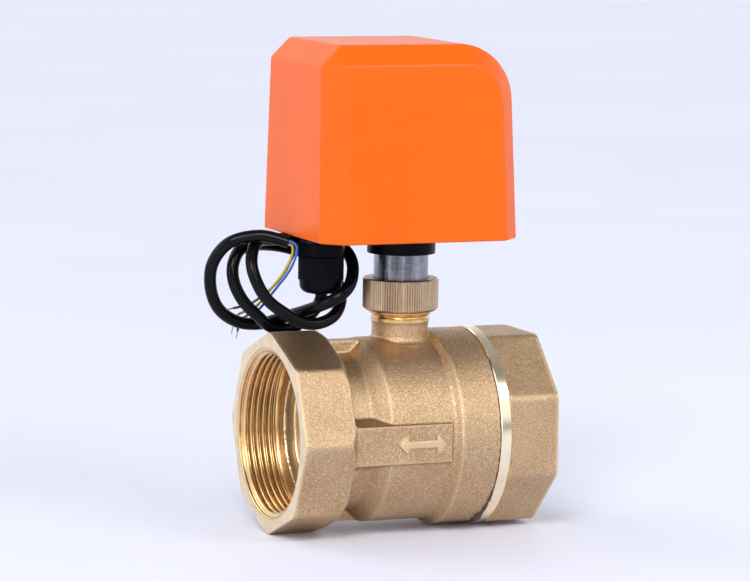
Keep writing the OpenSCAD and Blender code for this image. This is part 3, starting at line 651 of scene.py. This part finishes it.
for node, obj in NODES.items():
    if obj.hide_render:
        continue
    material = MATERIALS[OTHER_LOOK.get(node, SLOT_OF[node])]
    if not obj.material_slots:
        obj.data.materials.append(material)
    for held in obj.material_slots:
        held.material = material
    if node in SOFT_EDGES:
        obj.modifiers.new("weld", "WELD").merge_threshold = WELD_GAP
        flat = obj.modifiers.new("flat", "DECIMATE")
        flat.decimate_type, flat.angle_limit = "DISSOLVE", FLAT_ANGLE
        bevel = obj.modifiers.new("bevel", "BEVEL")
        bevel.width, bevel.segments = SOFT_EDGES[node] * MM, 4
        bevel.limit_method, bevel.angle_limit = "ANGLE", math.radians(22)
        bevel.harden_normals = True


# ---- Stage and light ----

def make_floor():
    """A wide pale floor that touches the valve's two lowest places."""
    left, right = Vector((INLET_X, 0, -36.24)) * MM, Vector((28.6, 0, -35.79)) * MM
    slope = (right.z - left.z) / (right.x - left.x)
    reach = 6.0  # metres
    corners = [(x, y, left.z + slope * (x - left.x)) for x, y in
               ((-reach, -reach), (reach, -reach), (reach, reach), (-reach, reach))]
    mesh = bpy.data.meshes.new("floor")
    mesh.from_pydata(corners, [], [(0, 1, 2, 3)])
    floor = linked("floor", mesh)
    s = Shader("floor", Roughness=0.55)
    s.colour(s.mix(s.ramp(s.noise(3, 2), (0.4, 0.0), (0.6, 1.0)), (0.79, 0.81, 0.94), (0.81, 0.83, 0.955)))
    mesh.materials.append(s.mat)


def add_lamp(name, data, direction):
    """A lamp that shines in one direction."""
    lamp = linked(name, data)
    lamp.rotation_mode = "QUATERNION"
    lamp.rotation_quaternion = direction.to_track_quat("-Z", "Y")
    return lamp


def soft_sun(name, side, strength, width):
    """Light from one side, so many degrees wide, and even over the whole floor."""
    data = bpy.data.lights.new(name, "SUN")
    data.energy, data.angle = strength, math.radians(width)
    add_lamp(name, data, -Vector(side))


def softbox(name, place, aim, size, power):
    """A lit rectangle at a place in metres, turned to a point."""
    data = bpy.data.lights.new(name, "AREA")
    data.shape, data.size, data.size_y, data.energy = "RECTANGLE", size[0], size[1], power
    add_lamp(name, data, Vector(aim) - Vector(place)).location = place


def make_sky():
    """A white studio: bright round the horizon, dim overhead and dim behind the camera."""
    world = bpy.data.worlds.new("studio")
    world.use_nodes = True
    tree = world.node_tree
    split = tree.nodes.new("ShaderNodeSeparateXYZ")
    tree.links.new(tree.nodes.new("ShaderNodeTexCoord").outputs["Generated"], split.inputs[0])
    shades = []
    for axis, stops in ((2, ((0.25, (0.92, 0.94, 1.0)), (0.8, (0.34, 0.34, 0.36)))),
                        (1, ((0.1, (0.16, 0.16, 0.17)), (0.55, (1.0, 1.0, 1.0))))):
        place = tree.nodes.new("ShaderNodeMapRange")
        place.inputs["From Min"].default_value = 0 if axis == 2 else -1
        tree.links.new(split.outputs[axis], place.inputs[0])
        ramp = tree.nodes.new("ShaderNodeValToRGB")
        tree.links.new(place.outputs[0], ramp.inputs[0])
        for end, (at, colour) in zip(ramp.color_ramp.elements, stops):
            end.position, end.color = at, (*colour, 1)
        shades.append(ramp.outputs[0])
    both = tree.nodes.new("ShaderNodeMix")
    both.data_type, both.blend_type = "RGBA", "MULTIPLY"
    both.inputs[0].default_value = 1
    tree.links.new(shades[0], both.inputs[MIX_A])
    tree.links.new(shades[1], both.inputs[MIX_B])
    tree.links.new(both.outputs[MIX_RESULT], tree.nodes["Background"].inputs[0])
    tree.nodes["Background"].inputs[1].default_value = 1.13
    bpy.context.scene.world = world


make_floor()
make_sky()
soft_sun("key", (-0.55, -0.8, 0.75), 1.7, 24)
soft_sun("fill", (0.8, -0.75, 0.45), 0.62, 50)
soft_sun("rim", (-0.6, 0.6, 0.7), 0.6, 40)
soft_sun("side", (-1, -0.15, 0.3), 0.4, 40)
softbox("front", (-0.35, -1.25, 0.42), (0, 0, 0), (0.35, 0.25), 2.4)
softbox("edge", (0.41, -0.96, 0.88), (0, 0, 0.1), (0.7, 0.12), 4)
bpy.context.scene.view_settings.view_transform = "Standard"
